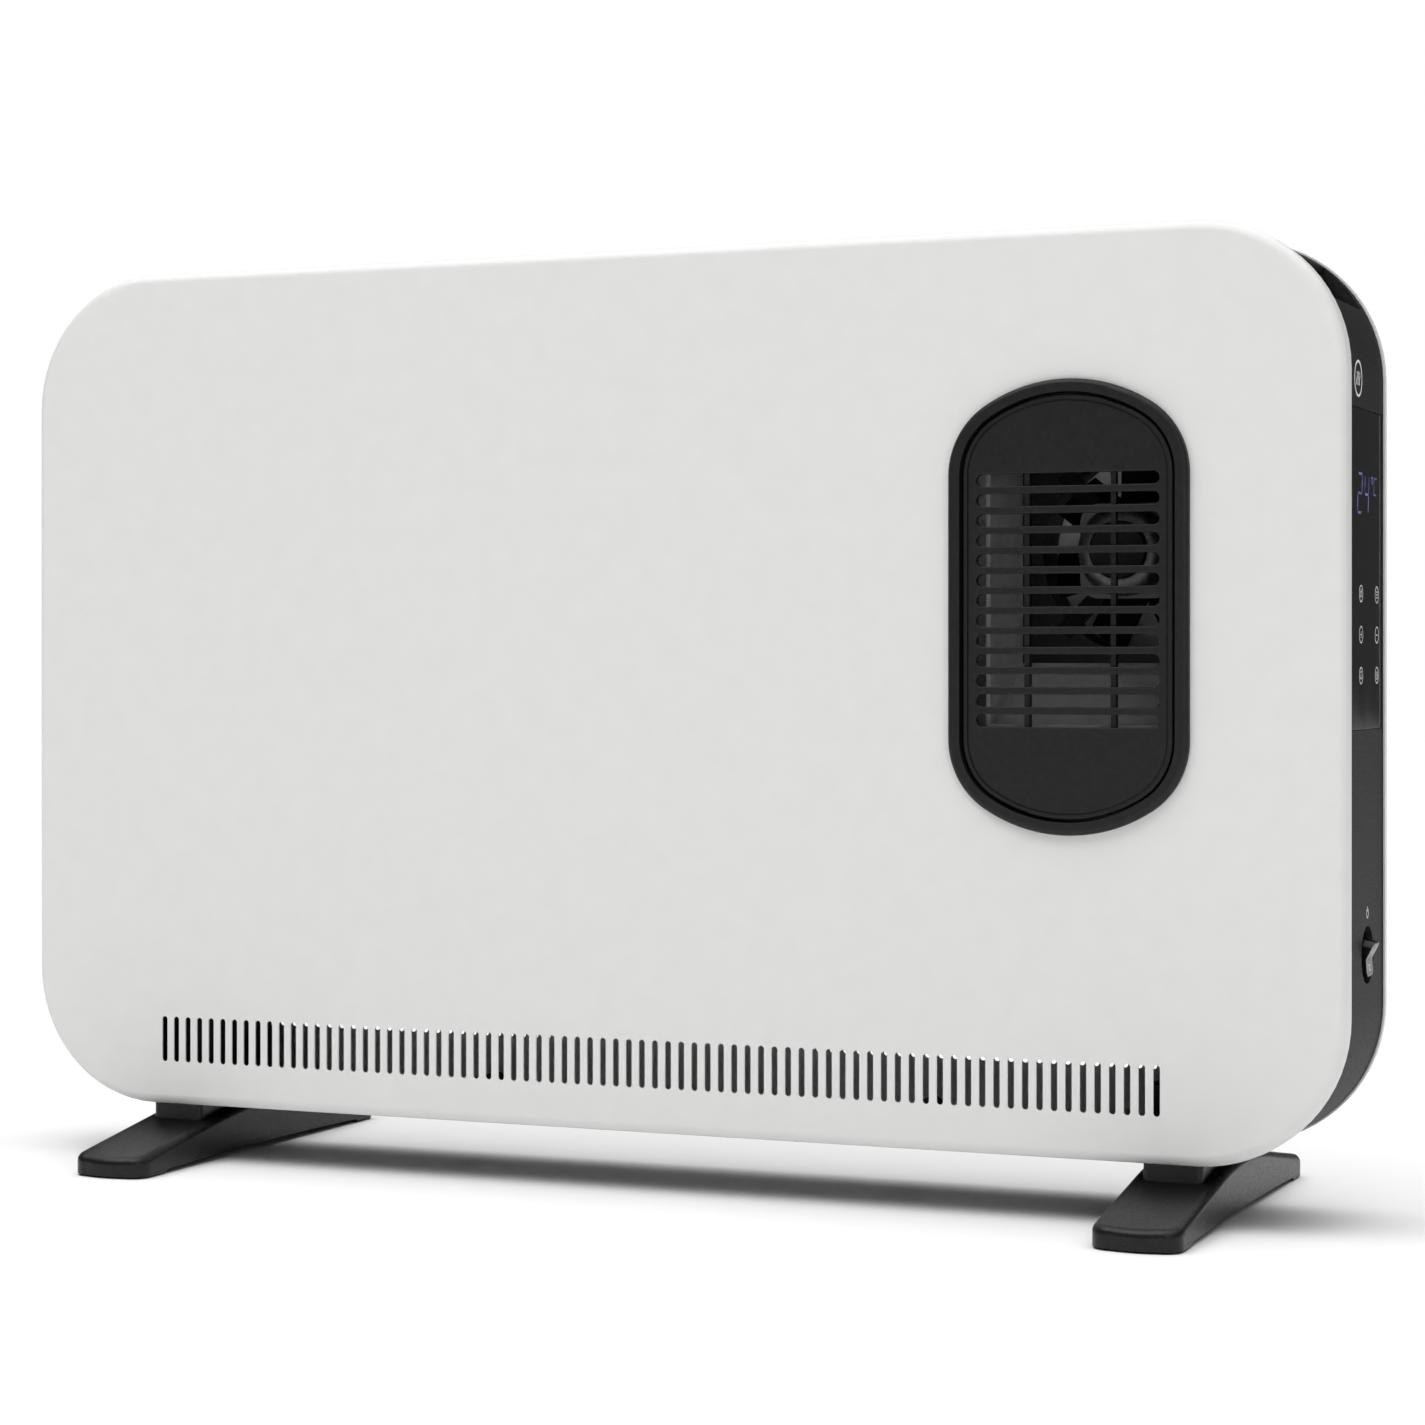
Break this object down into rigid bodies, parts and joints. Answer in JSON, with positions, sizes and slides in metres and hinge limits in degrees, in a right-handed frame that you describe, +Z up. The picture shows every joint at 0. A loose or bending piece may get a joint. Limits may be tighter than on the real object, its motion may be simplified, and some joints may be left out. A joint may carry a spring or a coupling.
{
  "type": "fan convector heater",
  "caption": "Free-standing convector heater with rounded sheet-metal panels, slotted vents, an oval fan outlet, side touch controls and two low feet.",
  "frame": {"origin": "on the floor, under the middle of the case and of the two feet", "axes": "+X towards the end with the controls, +Y to the back, +Z up; the outlet faces -Y"},
  "size_m": [0.6872, 0.244, 0.454],
  "materials": {
    "white_powder_coat": "satin white powder coat on pressed sheet steel",
    "black_frame_plastic": "fine spark-eroded texture, satin black ABS",
    "black_grille_plastic": "fine textured black heat-resistant plastic",
    "black_foot_plastic": "satin black moulded polypropylene",
    "gloss_black_panel": "gloss black acrylic",
    "switch_plastic": "semi-gloss black nylon",
    "rubber_pad": "matte rubber",
    "zinc_screw": "zinc plated steel",
    "galvanised_sheet": "galvanised sheet steel",
    "black_sheet": "matte black paint on pressed steel",
    "laminated_steel": "stacked electrical steel",
    "copper_winding": "enamelled copper under tape",
    "bronze_bush": "sintered bronze",
    "cast_cap": "die-cast zinc alloy",
    "duct_plastic": "dark grey heat-resistant plastic",
    "impeller_plastic": "black nylon",
    "finned_aluminium": "pressed aluminium",
    "heater_rod": "sheathed steel rod",
    "ceramic": "glazed steatite",
    "circuit_board": "green solder resist on glass laminate",
    "board_parts": "moulded component cases",
    "nylon_white": "natural nylon",
    "brass_terminal": "tinned brass",
    "white_print": "screen printed white ink",
    "display_light": "segments lit blue-violet from behind"
  },
  "bodies": {
    "case": {"bearing_bushes": "bronze_bush", "bearing_cover": "impeller_plastic", "board_standoffs": "nylon_white", "bottom_intake_rail": "black_frame_plastic", "ceramic_bushes": "ceramic", "cord_gland": "switch_plastic", "display_module": "board_parts", "element_bracket_left": "galvanised_sheet", "element_bracket_right": "galvanised_sheet", "element_lower": "finned_aluminium", "element_rods": "heater_rod", "element_upper": "finned_aluminium", "fan_bezel": "black_grille_plastic", "fan_duct": "duct_plastic", "fan_grille": "black_grille_plastic", "fan_shroud": "black_grille_plastic", "foot_pads": "rubber_pad", "foot_screws": "zinc_screw", "front_panel": "white_powder_coat", "gland_nut": "switch_plastic", "heat_shield": "galvanised_sheet", "left_end_frame": "black_frame_plastic", "left_foot": "black_foot_plastic", "left_grip_cup": "black_grille_plastic", "motor_bracket": "black_sheet", "motor_cap": "cast_cap", "motor_coil": "copper_winding", "motor_stator": "laminated_steel", "panel_screws": "zinc_screw", "partition": "galvanised_sheet", "power_board": "circuit_board", "power_parts": "board_parts", "power_relays": "board_parts", "rear_panel": "white_powder_coat", "right_end_frame": "black_frame_plastic", "right_foot": "black_foot_plastic", "right_grip_cup": "black_grille_plastic", "room_sensor": "nylon_white", "switch_housing": "switch_plastic", "switch_terminals": "brass_terminal", "terminal_block": "nylon_white", "thermal_cutout": "nylon_white", "tip_switch_housing": "nylon_white", "top_outlet_rail": "black_frame_plastic", "touch_board": "circuit_board", "touch_panel_lens": "gloss_black_panel", "touch_springs": "brass_terminal"},
    "fan": {"fan_rotor": "laminated_steel", "fan_impeller": "impeller_plastic"},
    "rocker": {"switch_rocker": "switch_plastic"},
    "pendulum": {"tip_pendulum": "brass_terminal"}
  },
  "joints": [
    {"name": "fan_spin", "type": "hinge", "parent": "case", "child": "fan", "pos_m": [0.233, 0.0105, 0.307], "axis": [0, 1, 0], "continuous": true},
    {"name": "rocker_tilt", "type": "hinge", "parent": "case", "child": "rocker", "pos_m": [0.3341, -0.01, 0.1225], "axis": [0, 1, 0], "range_deg": [-24, 0]},
    {"name": "pendulum_swing", "type": "hinge", "parent": "case", "child": "pendulum", "pos_m": [0.305, -0.027, 0.107], "axis": [1, 0, 0], "range_deg": [-24, 24]}
  ]
}
